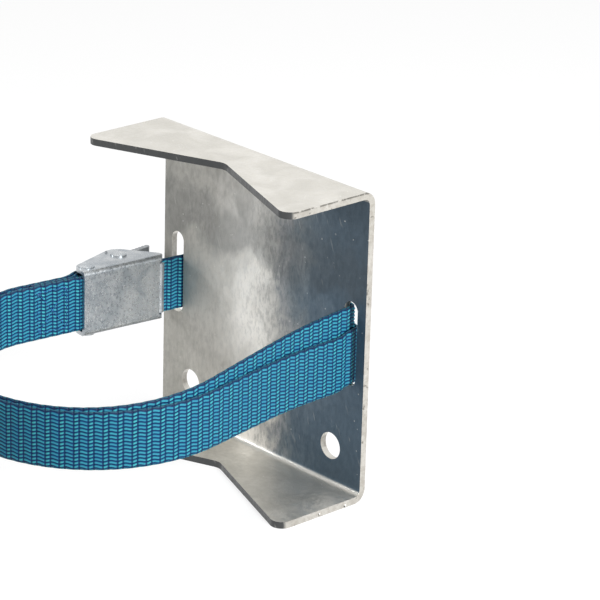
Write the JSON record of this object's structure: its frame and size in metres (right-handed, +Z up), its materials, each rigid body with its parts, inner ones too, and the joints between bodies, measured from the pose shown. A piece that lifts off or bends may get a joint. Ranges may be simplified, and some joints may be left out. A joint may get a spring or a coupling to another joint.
{
  "type": "gas cylinder bracket",
  "caption": "Folded galvanised wall bracket that cradles a gas cylinder in notched flanges, with a webbing strap drawn round it and locked by a sprung cam buckle.",
  "frame": {"origin": "on the wall face of the web, midway between the two fixing holes", "axes": "+X along the wall to the right as seen from the front, +Y into the wall, +Z up; the cylinder stands on the -Y side"},
  "size_m": [0.1381, 0.1619, 0.14],
  "materials": {
    "galvanised_steel": "dull spangled zinc with streaks and scratches",
    "webbing": "coarse woven polyester",
    "zinc_plated_steel": "bright zinc plate",
    "cast_zinc": "satin die casting",
    "spring_steel": "drawn wire"
  },
  "bodies": {
    "holder": {"wall_bracket": "galvanised_steel", "webbing_strap": "webbing", "buckle_frame": "zinc_plated_steel", "strap_bar": "zinc_plated_steel", "cam_pin": "zinc_plated_steel", "cam_spring": "spring_steel"},
    "cam": {"cam_lever": "cast_zinc"}
  },
  "joints": [
    {"name": "cam_release", "type": "hinge", "parent": "holder", "child": "cam", "pos_m": [-0.06477, -0.02974, 0.04618], "axis": [0, 0, -1], "range_deg": [0, 36], "stiffness_Nm_per_rad": 0.03, "springref_deg": -34.38, "deforming": ["cam_spring"]}
  ]
}
